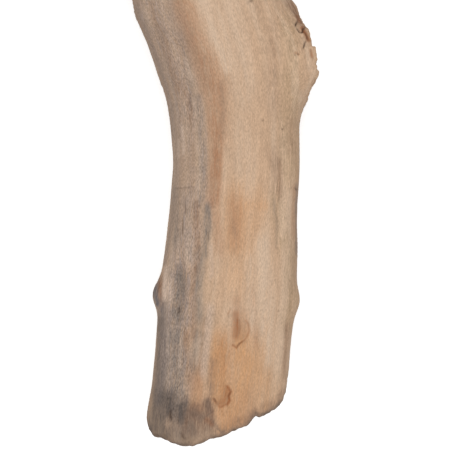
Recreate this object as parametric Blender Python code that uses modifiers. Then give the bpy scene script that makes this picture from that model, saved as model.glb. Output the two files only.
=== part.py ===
"""A sandblasted manzanita branch that lies on its side, grown and kept as one piece of wood.

The thick butt end points to -Y and the limbs spread towards +Y. X runs across the branch, and the
floor that it lies on is Z = 0. Sizes here are millimetres, measured from the foot of the butt, and the
finished object is placed so that its frame's origin is on the floor under the middle of its outline.
"""

import math

import bmesh
import bpy
import numpy as np
from mathutils import Vector, noise

MM = 0.001

# Driving dimensions. A limb is a list of stations along its heart: x, y, z, half its width across the
# floor, and half its depth.
STEM = [
    (-6.9, -6.0, 17.0, 21.8, 17.4),
    (-6.2, 6.0, 16.9, 21.6, 17.1),
    (-5.2, 16.0, 16.8, 21.0, 17.0),
    (-4.1, 27.0, 16.7, 21.0, 16.9),
    (-3.1, 38.0, 16.6, 21.1, 16.9),
    (-1.7, 51.0, 16.8, 21.1, 16.9),
    (-0.9, 61.0, 17.2, 20.7, 17.0),
    (-0.3, 73.0, 17.7, 20.0, 17.1),
    (0.5, 87.0, 18.3, 19.9, 17.2),
    (0.0, 100.0, 19.0, 20.2, 17.5),
    (-0.9, 111.0, 19.8, 21.0, 17.8),
    (-2.6, 120.0, 20.4, 22.0, 18.2),
    (-5.8, 131.0, 21.2, 22.4, 18.6),
    (-9.6, 140.0, 22.0, 22.2, 18.6),
    (-16.6, 153.0, 23.4, 19.4, 17.4),
    (-26.0, 167.0, 25.2, 16.6, 15.4),
    (-38.0, 179.5, 27.0, 14.4, 13.8),
    (-51.0, 190.0, 27.6, 13.2, 12.6),
    (-61.0, 203.5, 26.0, 12.4, 11.8),
    (-64.5, 220.0, 22.4, 11.6, 11.0),
    (-61.5, 237.0, 18.2, 10.8, 10.4),
    (-63.0, 254.0, 14.4, 10.2, 9.8),
    (-72.0, 270.0, 11.2, 9.4, 9.2),
    (-80.5, 286.0, 8.5, 8.7, 8.6),
    (-80.5, 304.0, 7.5, 8.1, 8.0),
    (-74.5, 320.0, 8.6, 7.5, 7.4),
    (-71.0, 337.0, 11.0, 7.0, 6.9),
]
LIFTED_LIMB = [
    (-10.0, 132.0, 22.5, 13.4, 12.6),
    (-3.0, 150.0, 27.5, 13.4, 12.6),
    (6.5, 165.0, 34.5, 12.6, 12.0),
    (13.0, 180.0, 42.0, 11.6, 11.0),
    (13.5, 196.0, 49.0, 10.6, 10.0),
    (20.5, 212.0, 54.5, 9.9, 9.4),
    (33.5, 223.5, 59.5, 9.1, 8.7),
    (43.5, 238.0, 65.5, 8.4, 8.0),
    (44.5, 255.0, 72.0, 7.6, 7.3),
    (38.5, 271.0, 78.0, 6.9, 6.6),
    (39.5, 288.0, 83.5, 6.2, 6.0),
    (48.0, 302.0, 88.0, 5.6, 5.4),
]
PROP_LIMB = [
    (11.0, 185.0, 44.0, 8.6, 8.2),
    (26.0, 195.0, 42.0, 8.4, 8.0),
    (42.0, 199.5, 35.0, 7.8, 7.5),
    (56.5, 208.0, 26.0, 7.2, 7.0),
    (67.0, 221.5, 17.6, 6.7, 6.6),
    (81.0, 231.5, 11.0, 6.3, 6.2),
    (97.0, 237.5, 6.9, 5.9, 5.8),
    (111.0, 247.5, 5.2, 5.4, 5.4),
    (118.5, 262.5, 6.2, 4.9, 4.9),
    (129.5, 274.0, 9.6, 4.4, 4.4),
]
SIDE_LIMB = [
    (-50.0, 190.0, 28.0, 8.6, 8.4),
    (-65.0, 195.0, 33.0, 8.4, 8.2),
    (-80.0, 197.0, 38.5, 7.7, 7.5),
    (-94.0, 203.5, 43.0, 7.1, 6.9),
    (-104.5, 216.0, 45.5, 6.5, 6.3),
    (-117.5, 226.0, 47.0, 5.9, 5.8),
    (-130.0, 237.5, 49.0, 5.3, 5.2),
    (-134.0, 254.0, 52.5, 4.7, 4.6),
]
BACK_LIMB = [
    (30.0, 221.0, 58.0, 6.3, 6.1),
    (46.0, 222.0, 63.0, 5.8, 5.6),
    (59.0, 228.5, 67.5, 5.2, 5.1),
    (68.0, 240.0, 71.0, 4.7, 4.6),
    (80.5, 247.5, 75.5, 4.3, 4.2),
    (88.0, 260.5, 80.5, 3.8, 3.7),
]
INNER_LIMB = [
    (-63.5, 247.0, 16.0, 6.8, 6.6),
    (-53.5, 259.0, 19.5, 6.0, 5.9),
    (-44.5, 269.5, 24.5, 5.5, 5.4),
    (-40.5, 284.5, 29.5, 5.0, 4.9),
    (-31.0, 297.0, 33.0, 4.5, 4.4),
    (-26.5, 313.0, 37.0, 3.9, 3.9),
]
# Forked twigs near the ends of the limbs, about as thick as a pencil where they start.
TWIGS = [
    [(-104.5, 214.0, 45.5, 5.0, 4.9), (-104.0, 229.0, 42.0, 4.3, 4.2), (-109.5, 243.0, 38.5, 3.7, 3.7),
     (-108.0, 258.0, 36.5, 3.2, 3.2)],
    [(-80.0, 284.0, 9.4, 5.8, 5.7), (-91.5, 294.0, 13.0, 4.7, 4.6), (-101.5, 304.5, 14.5, 4.1, 4.0),
     (-104.5, 319.0, 17.5, 3.5, 3.5)],
    [(79.0, 230.0, 12.0, 5.0, 4.9), (86.0, 243.5, 14.5, 4.2, 4.2), (85.5, 258.5, 19.0, 3.7, 3.6),
     (92.5, 271.5, 22.0, 3.2, 3.1)],
    [(41.0, 265.0, 76.0, 5.2, 5.1), (29.5, 275.0, 78.5, 4.4, 4.3), (23.5, 288.5, 82.5, 3.8, 3.8),
     (12.5, 299.0, 84.5, 3.3, 3.2)],
]
# The short stub of a limb that tore off beside the fork, and dead twigs that broke off near their roots.
TORN_STUB = [
    (2.0, 117.0, 20.0, 14.2, 14.2),
    (11.5, 119.0, 20.3, 12.6, 13.2),
    (18.5, 120.0, 20.6, 10.8, 12.0),
    (24.5, 120.8, 20.8, 9.6, 11.2),
    (31.0, 122.4, 21.0, 9.2, 10.8),
]
DEAD_TWIGS = [
    [(-62.0, 214.0, 25.0, 4.2, 4.0), (-71.0, 219.5, 20.0, 3.6, 3.4), (-78.5, 222.5, 16.5, 3.0, 2.9)],
    [(15.0, 200.0, 51.0, 4.0, 3.8), (7.0, 206.0, 57.0, 3.5, 3.3), (2.0, 210.5, 62.0, 2.9, 2.8)],
    [(-84.0, 199.0, 40.0, 3.4, 3.3), (-86.0, 191.0, 45.5, 2.9, 2.8), (-88.5, 185.5, 49.0, 2.5, 2.4)],
    [(68.0, 223.0, 17.0, 3.3, 3.2), (74.0, 219.5, 22.0, 2.8, 2.7), (79.0, 216.0, 25.5, 2.4, 2.3)],
    [(-62.0, 240.0, 18.0, 4.4, 4.2), (-53.0, 236.0, 22.0, 3.5, 3.4), (-47.0, 234.0, 26.0, 2.9, 2.8)],
]

# Where the butt ends, seen from above, as points (x, y) from the left side round to the right one.
BUTT_EDGE = [
    (-30.0, 11.6), (-28.0, 6.7), (-26.6, 4.6), (-24.5, 3.6), (-22.2, 3.3), (-20.0, 2.5), (-17.6, 1.9),
    (-15.4, 1.6), (-12.3, 1.8), (-9.3, 2.7), (-7.7, 3.9), (-4.1, 4.9), (0.8, 6.8), (3.3, 7.5), (4.6, 8.6),
    (6.2, 10.5), (7.4, 9.8), (10.7, 11.1), (13.1, 12.2), (15.1, 13.8), (16.2, 15.8), (18.6, 23.0),
]
BUTT_CORNERS = (2, 7, 18)  # which of those points are its left corner, its foot and its right corner
BUTT_ROUNDING = 2.4
BUTT_ROUGHNESS = 0.5
BUTT_GRAIN = 5.0
# The rim of the torn stub, seen from above, as points (x, y) up its right side; wood beyond it is gone.
TEAR_EDGE = [
    (40.0, 98.0), (22.6, 108.0), (23.6, 111.0), (24.8, 112.7), (25.3, 113.8), (25.4, 114.9), (24.8, 115.9),
    (24.6, 117.4), (24.8, 118.8), (24.4, 121.3), (24.1, 122.2), (23.2, 122.6), (23.1, 123.7), (22.8, 125.5),
    (22.3, 127.9), (21.2, 129.5), (20.6, 131.1), (19.8, 133.9), (19.1, 135.8), (16.5, 138.2), (40.0, 143.0),
    (200.0, 150.0),
]
TEAR_POINT = (23.4, 122.8, 20.5)
TEAR_FACING = (0.958, 0.285, 0.02)
TEAR_ROUNDING = 1.2
TEAR_ROUGHNESS = 0.5
TEAR_GRAIN = 3.4

# Round swellings and pits: where on the surface, how high (pits are negative), how far along Y, and how
# far round.
SWELLINGS = [
    ((-24.0, 47.0, 17.5), 2.5, 4.6, 7.0),
    ((19.6, 44.5, 17.0), 1.5, 4.2, 8.0),
    ((-17.1, 47.2, 29.0), -1.5, 6.5, 2.4),
    ((-13.2, 48.5, 33.0), 0.6, 7.5, 2.2),
    ((0.9, 37.7, 33.5), 0.7, 5.5, 3.4),
    ((0.6, 38.3, 34.5), -0.8, 3.6, 1.5),
    ((-13.7, 105.0, 34.0), -0.6, 3.4, 1.8),
    ((17.0, 82.0, 27.0), 0.6, 5.0, 4.0),
    ((-21.0, 14.0, 25.0), -0.8, 7.0, 2.4),
    ((-15.5, 2.0, 30.0), -1.4, 3.4, 2.0),
    ((-20.0, 78.0, 9.0), 1.3, 7.5, 5.0),
    ((14.5, 62.0, 6.0), 1.3, 6.0, 5.0),
    ((-16.5, 112.0, 8.0), -1.6, 9.0, 4.0),
    ((12.0, 102.0, 5.5), -1.2, 7.0, 4.0),
    ((17.5, 137.0, 23.0), 2.2, 4.0, 4.5),
    ((22.8, 131.8, 23.0), -0.6, 3.0, 4.5),
    ((-40.0, 182.0, 40.0), 1.5, 5.5, 4.5),
    ((-58.0, 197.0, 14.0), 1.4, 5.0, 5.0),
]
# Hollow flutes along the upper face of the stem: foot (x, y), head (x, y), depth and half width.
FLUTES = [
    ((-18.2, 10.0), (-16.8, 66.0), 0.7, 2.2),
    ((-12.4, 14.0), (-10.6, 74.0), 0.6, 1.8),
    ((-8.2, 20.0), (-7.6, 84.0), 0.5, 1.5),
    ((-8.4, 1.0), (-7.0, 19.0), 0.9, 1.6),
    ((-17.6, 72.0), (-26.5, 150.0), 0.7, 2.8),
    ((-11.0, 92.0), (-20.5, 150.0), 0.6, 2.4),
    ((13.2, 60.0), (14.2, 96.0), 0.5, 1.8),
    ((7.6, 28.0), (7.2, 58.0), 0.3, 1.2),
]
FLUTE_FLOOR = 20.0  # flutes lie above this height, and fade in over FLUTE_FADE
FLUTE_FADE = 6.0
FLUTE_ENDS = 0.2  # the share of a flute's length over which each end runs out
# Small knots where buds once sat: one each KNOT_GAP along a limb, turned by the leaf angle each time.
# A knot's size grows with its limb, and its rise is a share of its size.
KNOT_GAP = 23.0
KNOT_START = 15.0
KNOT_SIZE = 1.8
KNOT_GROWTH = 0.18
KNOT_RISE = 0.25
LEAF_ANGLE = math.radians(137.5)
# How far the skin wanders in and out: little on the stem, and fully past the fork.
GNARL = 0.45
GNARL_SIZE = 9.0
GNARL_STRETCH = 1.3
GNARL_ON_STEM = 0.15
GNARL_FROM_Y = 140.0
GNARL_FADE = 30.0

ORIGIN = (-3.1, 170.2)  # under the middle of the outline, from the foot of the butt
SAMPLE_STEP = 1.5
ROUGH_SIDES = 48
ROUGH_VOXEL = 1.7
CARVE_STEPS = (3.0, 1.5, 1.0, 0.6, 0.4)  # the furthest that each pass may move the fused skin
FORK_FILLET = 11.0
SLIM_FILLET = 7.0
TWIG_FILLET = 4.5
END_ROUNDING = 1.4
SECTION_POWER = 2.25  # 2 is an ellipse, and more is squarer
LOBE_PITCH = 60.0  # how far along a limb its lobes take to turn by a radian
FAR = 99.0
TRIANGLES = 10600
SURFACE_CHUNK = 4000


class Limb:
    """A tapering limb, sampled closely along its heart, with a frame across each sample."""

    def __init__(self, stations, lobing, fillet, cut_lean=(0.0, 0.0)):
        line = smooth_line(stations)
        self.heart = line[:, :3]
        self.half_width, self.half_depth = line[:, 3], line[:, 4]
        run = np.gradient(self.heart, axis=0)
        self.along = run / np.linalg.norm(run, axis=1, keepdims=True)
        across = np.cross(self.along, (0.0, 0.0, 1.0))
        self.across = across / np.linalg.norm(across, axis=1, keepdims=True)
        self.up = np.cross(self.across, self.along)
        steps = np.linalg.norm(np.diff(self.heart, axis=0), axis=1)
        self.arc = np.concatenate([[0.0], np.cumsum(steps)])
        self.lobing, self.fillet, self.cut_lean = lobing, fillet, cut_lean


def smooth_line(stations):
    """Points about SAMPLE_STEP apart on a Catmull-Rom curve through the stations."""
    knots = np.array(stations, float)
    knots = np.vstack([2 * knots[0] - knots[1], knots, 2 * knots[-1] - knots[-2]])
    line = []
    for before, start, end, after in zip(knots, knots[1:], knots[2:], knots[3:]):
        count = math.ceil(np.linalg.norm((end - start)[:3]) / SAMPLE_STEP)
        for t in np.arange(count) / count:
            bend = 2 * before - 5 * start + 4 * end - after
            twist = 3 * start - before - 3 * end + after
            line.append(start + 0.5 * t * (end - before + t * (bend + t * twist)))
    line.append(knots[-2])
    return np.array(line)


def section_reach(limb, place, angle):
    """How far the surface lies from the heart, in a direction round the section at a sample."""
    wide = np.abs(np.cos(angle)) / limb.half_width[place]
    deep = np.abs(np.sin(angle)) / limb.half_depth[place]
    reach = (wide**SECTION_POWER + deep**SECTION_POWER) ** (-1 / SECTION_POWER)
    turn = limb.arc[place] / LOBE_PITCH
    lobes = 0.6 * np.cos(2 * angle + 2.2 * turn) + 0.5 * np.cos(3 * angle - 3.1 * turn + 1.0)
    return reach * (1 + limb.lobing * lobes)


def spokes_at(limb, place, angle):
    """The directions round the section at a sample."""
    return np.outer(np.cos(angle), limb.across[place]) + np.outer(np.sin(angle), limb.up[place])


def rough_tube(limb):
    """A closed tube through a limb's sections, as a mesh."""
    shape = bmesh.new()
    angles = np.arange(ROUGH_SIDES) * 2 * math.pi / ROUGH_SIDES
    rings = []
    for place in range(0, len(limb.heart), 2):
        reach = section_reach(limb, place, angles)[:, None]
        ring = limb.heart[place] + reach * spokes_at(limb, place, angles)
        rings.append([shape.verts.new(corner) for corner in ring])
    for lower, upper in zip(rings, rings[1:]):
        for i in range(ROUGH_SIDES):
            shape.faces.new((lower[i - 1], lower[i], upper[i], upper[i - 1]))
    shape.faces.new(reversed(rings[0]))
    shape.faces.new(rings[-1])
    bmesh.ops.recalc_face_normals(shape, faces=shape.faces)
    return shape


def cut_off(shape, point, facing):
    """Removes what lies beyond a plane and closes the cut."""
    parts = [*shape.verts, *shape.edges, *shape.faces]
    cut = bmesh.ops.bisect_plane(
        shape, geom=parts, plane_co=point, plane_no=facing, clear_outer=True
    )
    edges = [e for e in cut["geom_cut"] if isinstance(e, bmesh.types.BMEdge)]
    bmesh.ops.holes_fill(shape, edges=edges)


def cut_butt(tube):
    """Cuts the stem's tube along the two slopes of the butt's edge, which meet at its foot."""
    left, foot, right = (Vector(BUTT_EDGE[corner]) for corner in BUTT_CORNERS)
    for corner, side in ((left, -1), (right, 1)):
        slope = corner - foot
        cut_off(tube, (foot.x, foot.y, 0.0), (side * slope.y, -side * slope.x, 0.0))


def nearest_place(limb, points):
    """The sample of a limb nearest to each point."""
    places = np.empty(len(points), int)
    for first in range(0, len(points), SURFACE_CHUNK):
        chunk = points[first : first + SURFACE_CHUNK]
        gaps = chunk[:, None, :] - limb.heart[None, :, :]
        places[first : first + SURFACE_CHUNK] = (gaps**2).sum(axis=2).argmin(axis=1)
    return places


def smooth_max(a, b, rounding):
    """The larger of two distances, with the edge where they meet rounded."""
    share = np.clip(0.5 + 0.5 * (a - b) / rounding, 0.0, 1.0)
    return b + share * (a - b) + rounding * share * (1 - share)


def smooth_min(a, b, rounding):
    """The smaller of two distances, with the corner where they meet filled."""
    return -smooth_max(-a, -b, rounding)


def limb_distance(limb, points):
    """About how far points lie outside a limb: negative inside it, FAR where it is nowhere near."""
    room = 2 * max(limb.half_width.max(), limb.half_depth.max()) + limb.fillet
    low, high = limb.heart.min(axis=0) - room, limb.heart.max(axis=0) + room
    near = np.flatnonzero(((points > low) & (points < high)).all(axis=1))
    distance = np.full(len(points), FAR)
    place = nearest_place(limb, points[near])
    gap = points[near] - limb.heart[place]
    across = (gap * limb.across[place]).sum(axis=1)
    up = (gap * limb.up[place]).sum(axis=1)
    beyond = (gap * limb.along[place]).sum(axis=1)
    lean = limb.cut_lean[0] * across + limb.cut_lean[1] * up
    side = np.hypot(across, up) - section_reach(limb, place, np.arctan2(up, across))
    past_start = np.where(place == 0, -beyond, -FAR)
    past_end = np.where(place == len(limb.heart) - 1, beyond + lean, -FAR)
    distance[near] = smooth_max(side, np.maximum(past_start, past_end), END_ROUNDING)
    return distance


def ragged(points, size, stretch):
    """Noise from -1 to 1 at each point, with bumps of a size that are longer along Y by a factor."""
    scaled = points / (size, size * stretch, size)
    return np.array([noise.noise(Vector(p)) for p in scaled])


def past_edge(points, edge, order):
    """How far points lie past a line of points in the order of X (0) or of Y (1), seen from above."""
    edge = np.array(edge)
    run, rise = np.diff(edge[:, order]), np.diff(edge[:, 1 - order])
    piece = np.clip(np.searchsorted(edge[:, order], points[:, order]) - 1, 0, len(run) - 1)
    reach = np.interp(points[:, order], edge[:, order], edge[:, 1 - order])
    return (points[:, 1 - order] - reach) * (run / np.hypot(run, rise))[piece]


def limb_knots(limb):
    """The knots of a limb, in the form of SWELLINGS."""
    knots = []
    for count in range(1, int(limb.arc[-1] / KNOT_GAP) + 1):
        place = int(np.searchsorted(limb.arc, KNOT_START + (count - 1) * KNOT_GAP))
        angle = np.array([count * LEAF_ANGLE + len(limb.heart)])
        reach = section_reach(limb, place, angle)[:, None]
        centre = limb.heart[place] + (reach * spokes_at(limb, place, angle))[0]
        size = KNOT_SIZE + KNOT_GROWTH * limb.half_width[place]
        knots.append((centre, KNOT_RISE * size, size, size))
    return knots


def relief(points, limbs):
    """The swellings, pits, knots, flutes and gnarls on the wood, as a height over the plain limbs."""
    height = np.zeros(len(points))
    knots = [knot for limb in limbs[2:] for knot in limb_knots(limb)]
    for centre, rise, length, girth in SWELLINGS + knots:
        gap = (points - centre) / (girth, length, girth)
        height += rise * np.exp(-(gap**2).sum(axis=1))
    for (foot_x, foot_y), (head_x, head_y), depth, width in FLUTES:
        along = (points[:, 1] - foot_y) / (head_y - foot_y)
        middle = foot_x + along * (head_x - foot_x)
        window = np.clip(np.minimum(along, 1 - along) / FLUTE_ENDS, 0, 1)
        upper = np.clip((points[:, 2] - FLUTE_FLOOR) / FLUTE_FADE, 0, 1)
        gap = (points[:, 0] - middle) / width
        height -= depth * window * upper * np.exp(-(gap**2))
    on_limbs = np.clip((points[:, 1] - GNARL_FROM_Y) / GNARL_FADE, GNARL_ON_STEM, 1)
    return height + GNARL * on_limbs * ragged(points, GNARL_SIZE, GNARL_STRETCH)


def wood_distance(points, limbs):
    """About how far points lie outside the whole branch."""
    distance = limb_distance(limbs[0], points)
    for limb in limbs[1:]:
        distance = smooth_min(distance, limb_distance(limb, points), limb.fillet)
    distance -= relief(points, limbs)
    tear = past_edge(points, TEAR_EDGE, 1) + TEAR_ROUGHNESS * ragged(points, TEAR_GRAIN, 1.0)
    distance = smooth_max(distance, tear, TEAR_ROUNDING)
    butt = BUTT_ROUGHNESS * ragged(points, BUTT_GRAIN, 1.0) - past_edge(points, BUTT_EDGE, 0)
    return smooth_max(distance, butt, BUTT_ROUNDING)


def joined_tubes(limbs):
    """One mesh that holds every limb's tube, with the butt and the torn stub cut roughly to shape."""
    whole = bmesh.new()
    for limb in limbs:
        tube = rough_tube(limb)
        if limb is limbs[0]:
            cut_butt(tube)
        if limb is limbs[1]:
            cut_off(tube, TEAR_POINT, TEAR_FACING)
        piece = bpy.data.meshes.new("tube")
        tube.to_mesh(piece)
        tube.free()
        whole.from_mesh(piece)
        bpy.data.meshes.remove(piece)
    mesh = bpy.data.meshes.new("manzanita_branch")
    whole.to_mesh(mesh)
    whole.free()
    return mesh


def fuse(branch):
    """Fuses the crossing tubes into one skin of even small faces."""
    remesh = branch.modifiers.new("fuse", "REMESH")
    remesh.mode = "VOXEL"
    remesh.voxel_size = ROUGH_VOXEL
    graph = bpy.context.evaluated_depsgraph_get()
    fused = bpy.data.meshes.new_from_object(branch.evaluated_get(graph))
    branch.modifiers.remove(remesh)
    rough = branch.data
    branch.data = fused
    bpy.data.meshes.remove(rough)


def carve(branch, limbs):
    """Moves each point of the fused skin along its normal to the wood's own surface."""
    mesh = branch.data
    points = np.empty(len(mesh.vertices) * 3)
    normals = np.empty(len(mesh.vertices) * 3)
    for most in CARVE_STEPS:
        mesh.vertices.foreach_get("co", points)
        mesh.vertices.foreach_get("normal", normals)
        places = points.reshape(-1, 3)
        outside = wood_distance(places, limbs).clip(-most, most)
        places = places - normals.reshape(-1, 3) * outside[:, None]
        mesh.vertices.foreach_set("co", places.ravel())
        mesh.update()
    # What would sink below the floor is worn to the small flats that the branch rests on.
    places[:, 2] = places[:, 2].clip(0.0, None)
    mesh.vertices.foreach_set("co", (places * MM).ravel())
    mesh.update()


def wood_material():
    """Dry, sandblasted wood: pale tan and matt."""
    material = bpy.data.materials.new("sandblasted_wood")
    material.use_nodes = True
    surface = material.node_tree.nodes["Principled BSDF"]
    surface.inputs["Base Color"].default_value = (0.52, 0.36, 0.25, 1.0)
    surface.inputs["Roughness"].default_value = 0.85
    surface.inputs["Metallic"].default_value = 0.0
    return material


def branch_limbs():
    """Every limb: the stem first, then its torn stub, then the others in the order that they fork."""
    limbs = [
        Limb(STEM, 0.012, FORK_FILLET, cut_lean=(0.2, 0.1)),
        Limb(TORN_STUB, 0.02, FORK_FILLET),
        Limb(LIFTED_LIMB, 0.045, FORK_FILLET, cut_lean=(-0.25, 0.1)),
        Limb(PROP_LIMB, 0.05, SLIM_FILLET, cut_lean=(0.3, 0.2)),
        Limb(SIDE_LIMB, 0.05, SLIM_FILLET, cut_lean=(-0.2, -0.2)),
        Limb(BACK_LIMB, 0.05, SLIM_FILLET, cut_lean=(0.1, 0.3)),
        Limb(INNER_LIMB, 0.05, SLIM_FILLET, cut_lean=(-0.3, 0.1)),
    ]
    limbs += [Limb(twig, 0.05, TWIG_FILLET, cut_lean=(0.15, 0.3)) for twig in TWIGS]
    limbs += [Limb(twig, 0.04, TWIG_FILLET, cut_lean=(0.35, -0.2)) for twig in DEAD_TWIGS]
    return limbs


def build_branch():
    """Makes the branch: one solid, with its frame's origin under the middle of its outline."""
    limbs = branch_limbs()
    collection = bpy.data.collections.new("manzanita_branch")
    bpy.context.scene.collection.children.link(collection)
    branch = bpy.data.objects.new("branch", joined_tubes(limbs))
    collection.objects.link(branch)
    fuse(branch)
    carve(branch, limbs)
    branch.location = (-ORIGIN[0] * MM, -ORIGIN[1] * MM, 0.0)
    branch.data.shade_smooth()
    branch.data.materials.append(wood_material())
    branch.data.calc_loop_triangles()
    thin = branch.modifiers.new("fewer_faces", "DECIMATE")
    thin.ratio = TRIANGLES / len(branch.data.loop_triangles)


for old in list(bpy.data.objects):
    bpy.data.objects.remove(old, do_unlink=True)
build_branch()
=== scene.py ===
"""Looks for a sandblasted manzanita branch that lies on its side, with the camera above its butt.

The branch is one piece of wood, so the sections below follow its growth: the limbs and their forks,
the cut butt, the torn stub, the knots and flutes, and then the skin, the splits and the weathering, with
the highlights and shade that are painted into its colours.
Lengths in those sections are millimetres from the foot of the butt, and +Y points to the limbs' tips.
"""

import math

import bmesh
import bpy
import numpy as np
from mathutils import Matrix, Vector, noise


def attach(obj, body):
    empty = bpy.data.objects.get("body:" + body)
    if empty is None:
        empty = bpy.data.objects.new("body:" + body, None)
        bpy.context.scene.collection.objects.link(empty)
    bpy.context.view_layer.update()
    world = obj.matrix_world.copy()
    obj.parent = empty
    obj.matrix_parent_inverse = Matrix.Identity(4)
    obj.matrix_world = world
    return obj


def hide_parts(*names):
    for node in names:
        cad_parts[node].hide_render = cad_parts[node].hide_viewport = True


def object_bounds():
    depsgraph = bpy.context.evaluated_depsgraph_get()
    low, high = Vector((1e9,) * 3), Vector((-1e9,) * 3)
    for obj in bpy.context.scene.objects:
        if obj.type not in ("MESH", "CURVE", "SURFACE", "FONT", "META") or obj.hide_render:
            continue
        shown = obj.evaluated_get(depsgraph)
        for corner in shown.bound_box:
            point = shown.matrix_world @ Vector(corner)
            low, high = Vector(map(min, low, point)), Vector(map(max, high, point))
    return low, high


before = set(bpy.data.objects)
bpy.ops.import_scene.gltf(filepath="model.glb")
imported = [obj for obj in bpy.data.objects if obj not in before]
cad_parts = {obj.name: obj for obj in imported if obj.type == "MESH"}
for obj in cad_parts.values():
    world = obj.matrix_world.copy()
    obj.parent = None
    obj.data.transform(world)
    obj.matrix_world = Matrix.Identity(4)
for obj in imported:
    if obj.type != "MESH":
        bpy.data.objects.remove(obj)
cad_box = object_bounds()


# The stem and its limbs: bare manzanita that forked again and again as it grew, all of one piece.
# A limb is a list of stations along its heart: x, y, z, half its width across the floor, and half
# its depth. They are the CAD source's stations, so the finer skin lies on the same wood.
MM = 0.001
ORIGIN = (-3.1, 170.2)  # the frame's origin, from the foot of the butt
STEM = [
    (-6.9, -6.0, 17.0, 21.8, 17.4),
    (-6.2, 6.0, 16.9, 21.6, 17.1),
    (-5.2, 16.0, 16.8, 21.0, 17.0),
    (-4.1, 27.0, 16.7, 21.0, 16.9),
    (-3.1, 38.0, 16.6, 21.1, 16.9),
    (-1.7, 51.0, 16.8, 21.1, 16.9),
    (-0.9, 61.0, 17.2, 20.7, 17.0),
    (-0.3, 73.0, 17.7, 20.0, 17.1),
    (0.5, 87.0, 18.3, 19.9, 17.2),
    (0.0, 100.0, 19.0, 20.2, 17.5),
    (-0.9, 111.0, 19.8, 21.0, 17.8),
    (-2.6, 120.0, 20.4, 22.0, 18.2),
    (-5.8, 131.0, 21.2, 22.4, 18.6),
    (-9.6, 140.0, 22.0, 22.2, 18.6),
    (-16.6, 153.0, 23.4, 19.4, 17.4),
    (-26.0, 167.0, 25.2, 16.6, 15.4),
    (-38.0, 179.5, 27.0, 14.4, 13.8),
    (-51.0, 190.0, 27.6, 13.2, 12.6),
    (-61.0, 203.5, 26.0, 12.4, 11.8),
    (-64.5, 220.0, 22.4, 11.6, 11.0),
    (-61.5, 237.0, 18.2, 10.8, 10.4),
    (-63.0, 254.0, 14.4, 10.2, 9.8),
    (-72.0, 270.0, 11.2, 9.4, 9.2),
    (-80.5, 286.0, 8.5, 8.7, 8.6),
    (-80.5, 304.0, 7.5, 8.1, 8.0),
    (-74.5, 320.0, 8.6, 7.5, 7.4),
    (-71.0, 337.0, 11.0, 7.0, 6.9),
]
LIFTED_LIMB = [
    (-10.0, 132.0, 22.5, 13.4, 12.6),
    (-3.0, 150.0, 27.5, 13.4, 12.6),
    (6.5, 165.0, 34.5, 12.6, 12.0),
    (13.0, 180.0, 42.0, 11.6, 11.0),
    (13.5, 196.0, 49.0, 10.6, 10.0),
    (20.5, 212.0, 54.5, 9.9, 9.4),
    (33.5, 223.5, 59.5, 9.1, 8.7),
    (43.5, 238.0, 65.5, 8.4, 8.0),
    (44.5, 255.0, 72.0, 7.6, 7.3),
    (38.5, 271.0, 78.0, 6.9, 6.6),
    (39.5, 288.0, 83.5, 6.2, 6.0),
    (48.0, 302.0, 88.0, 5.6, 5.4),
]
PROP_LIMB = [
    (11.0, 185.0, 44.0, 8.6, 8.2),
    (26.0, 195.0, 42.0, 8.4, 8.0),
    (42.0, 199.5, 35.0, 7.8, 7.5),
    (56.5, 208.0, 26.0, 7.2, 7.0),
    (67.0, 221.5, 17.6, 6.7, 6.6),
    (81.0, 231.5, 11.0, 6.3, 6.2),
    (97.0, 237.5, 6.9, 5.9, 5.8),
    (111.0, 247.5, 5.2, 5.4, 5.4),
    (118.5, 262.5, 6.2, 4.9, 4.9),
    (129.5, 274.0, 9.6, 4.4, 4.4),
]
SIDE_LIMB = [
    (-50.0, 190.0, 28.0, 8.6, 8.4),
    (-65.0, 195.0, 33.0, 8.4, 8.2),
    (-80.0, 197.0, 38.5, 7.7, 7.5),
    (-94.0, 203.5, 43.0, 7.1, 6.9),
    (-104.5, 216.0, 45.5, 6.5, 6.3),
    (-117.5, 226.0, 47.0, 5.9, 5.8),
    (-130.0, 237.5, 49.0, 5.3, 5.2),
    (-134.0, 254.0, 52.5, 4.7, 4.6),
]
BACK_LIMB = [
    (30.0, 221.0, 58.0, 6.3, 6.1),
    (46.0, 222.0, 63.0, 5.8, 5.6),
    (59.0, 228.5, 67.5, 5.2, 5.1),
    (68.0, 240.0, 71.0, 4.7, 4.6),
    (80.5, 247.5, 75.5, 4.3, 4.2),
    (88.0, 260.5, 80.5, 3.8, 3.7),
]
INNER_LIMB = [
    (-63.5, 247.0, 16.0, 6.8, 6.6),
    (-53.5, 259.0, 19.5, 6.0, 5.9),
    (-44.5, 269.5, 24.5, 5.5, 5.4),
    (-40.5, 284.5, 29.5, 5.0, 4.9),
    (-31.0, 297.0, 33.0, 4.5, 4.4),
    (-26.5, 313.0, 37.0, 3.9, 3.9),
]
TWIGS = [
    [(-104.5, 214.0, 45.5, 5.0, 4.9), (-104.0, 229.0, 42.0, 4.3, 4.2), (-109.5, 243.0, 38.5, 3.7, 3.7),
     (-108.0, 258.0, 36.5, 3.2, 3.2)],
    [(-80.0, 284.0, 9.4, 5.8, 5.7), (-91.5, 294.0, 13.0, 4.7, 4.6), (-101.5, 304.5, 14.5, 4.1, 4.0),
     (-104.5, 319.0, 17.5, 3.5, 3.5)],
    [(79.0, 230.0, 12.0, 5.0, 4.9), (86.0, 243.5, 14.5, 4.2, 4.2), (85.5, 258.5, 19.0, 3.7, 3.6),
     (92.5, 271.5, 22.0, 3.2, 3.1)],
    [(41.0, 265.0, 76.0, 5.2, 5.1), (29.5, 275.0, 78.5, 4.4, 4.3), (23.5, 288.5, 82.5, 3.8, 3.8),
     (12.5, 299.0, 84.5, 3.3, 3.2)],
]
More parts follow.
